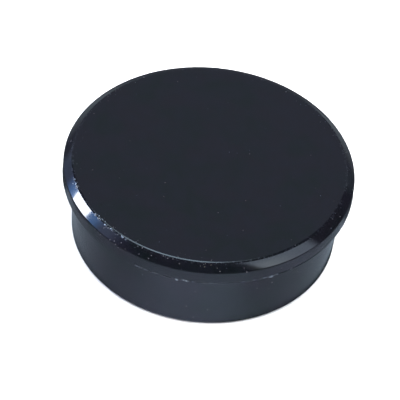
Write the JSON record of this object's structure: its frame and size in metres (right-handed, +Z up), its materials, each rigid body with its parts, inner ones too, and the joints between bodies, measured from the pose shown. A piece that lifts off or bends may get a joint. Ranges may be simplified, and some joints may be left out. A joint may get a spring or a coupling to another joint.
{
  "type": "magnetic security tag detacher",
  "caption": "Closed round hand-held magnetic tag detacher: flat-topped grip cap with an overhanging rim and tapered skirt, a round tag nest and a rubber ring underneath.",
  "frame": {"origin": "centre of the resting plane, under the glide ring", "axes": "+Z up along the puck's middle towards the closed top face; the outside is round, and the base's two pry notches lie on the X axis"},
  "size_m": [0.038, 0.038, 0.012],
  "materials": {
    "cap_plastic": "gloss moulded, blue-black",
    "base_plastic": "finely spark-eroded matt black",
    "foam": "closed-cell foam",
    "yoke_steel": "punched, zinc plated",
    "magnet_nickel": "bright nickel plate",
    "glide_rubber": "matt moulded rubber"
  },
  "bodies": {
    "root": {"grip_cap": "cap_plastic", "foam_pad": "foam", "back_yoke": "yoke_steel", "upper_ring_magnet": "magnet_nickel", "lower_ring_magnet": "magnet_nickel", "booster_magnet": "magnet_nickel", "nest_base": "base_plastic", "glide_ring": "glide_rubber"}
  },
  "joints": []
}
